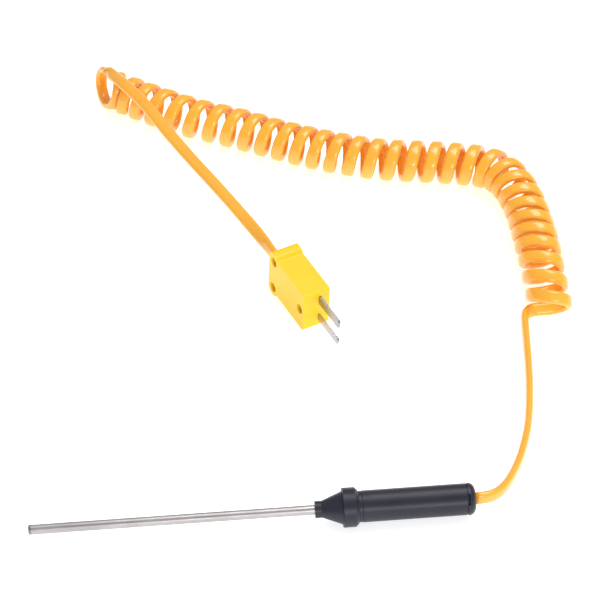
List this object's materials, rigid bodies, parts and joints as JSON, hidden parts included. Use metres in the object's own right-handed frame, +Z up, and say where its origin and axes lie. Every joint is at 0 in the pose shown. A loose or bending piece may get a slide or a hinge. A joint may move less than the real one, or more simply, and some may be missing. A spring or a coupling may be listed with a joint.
{
  "type": "thermocouple probe",
  "caption": "Type K immersion thermocouple probe: closed steel sheath, dark plastic handle, flat coiled cable and a miniature flat-pin plug.",
  "frame": {"origin": "under the middle of the probe (sheath and handle), on the surface that the object lies on", "axes": "+X along the sheath from its closed tip to the handle's rear, +Z up, +Y towards the coil's far side"},
  "size_m": [0.181, 0.2277, 0.0192],
  "materials": {
    "sheath_steel": "satin drawn tube",
    "weld_steel": "dull, heat-darkened",
    "nickel_chromium": "bright drawn",
    "nickel_aluminium": "bright drawn",
    "ceramic": "fired, matt",
    "epoxy": "cast, glossy",
    "handle_plastic": "satin moulded",
    "cable_pvc": "glossy extruded, slightly translucent",
    "plug_plastic": "satin moulded",
    "core_yellow": "extruded",
    "core_red": "extruded",
    "sleeve_plastic": "shrunk",
    "crimp_metal": "tinned",
    "screw_steel": "yellow passivated zinc"
  },
  "bodies": {
    "root": {"sheath_tube": "sheath_steel", "tip_weld_cap": "weld_steel", "positive_element_wire": "nickel_chromium", "negative_element_wire": "nickel_aluminium", "hot_junction": "weld_steel", "ceramic_insulators": "ceramic", "epoxy_seal": "epoxy", "handle_nose": "handle_plastic", "handle_grip": "handle_plastic", "handle_rear_cap": "handle_plastic", "handle_cable_end": "cable_pvc", "cable_stop_ring": "crimp_metal", "positive_splice_barrel": "crimp_metal", "negative_splice_barrel": "crimp_metal", "positive_splice_sleeve": "sleeve_plastic", "negative_splice_sleeve": "sleeve_plastic", "positive_handle_core": "core_yellow", "negative_handle_core": "core_red", "positive_handle_strand": "nickel_chromium", "negative_handle_strand": "nickel_aluminium", "cable_lead": "cable_pvc", "cable_coil": "cable_pvc", "cable_plug_lead": "cable_pvc", "plug_base": "plug_plastic", "plug_cover": "plug_plastic", "negative_blade": "nickel_aluminium", "positive_blade": "nickel_chromium", "cover_screws": "screw_steel", "terminal_screws": "screw_steel", "terminal_washers": "screw_steel", "plug_cable_end": "cable_pvc", "plug_negative_core": "core_red", "plug_positive_core": "core_yellow", "plug_negative_strand": "nickel_aluminium", "plug_positive_strand": "nickel_chromium"}
  },
  "joints": []
}
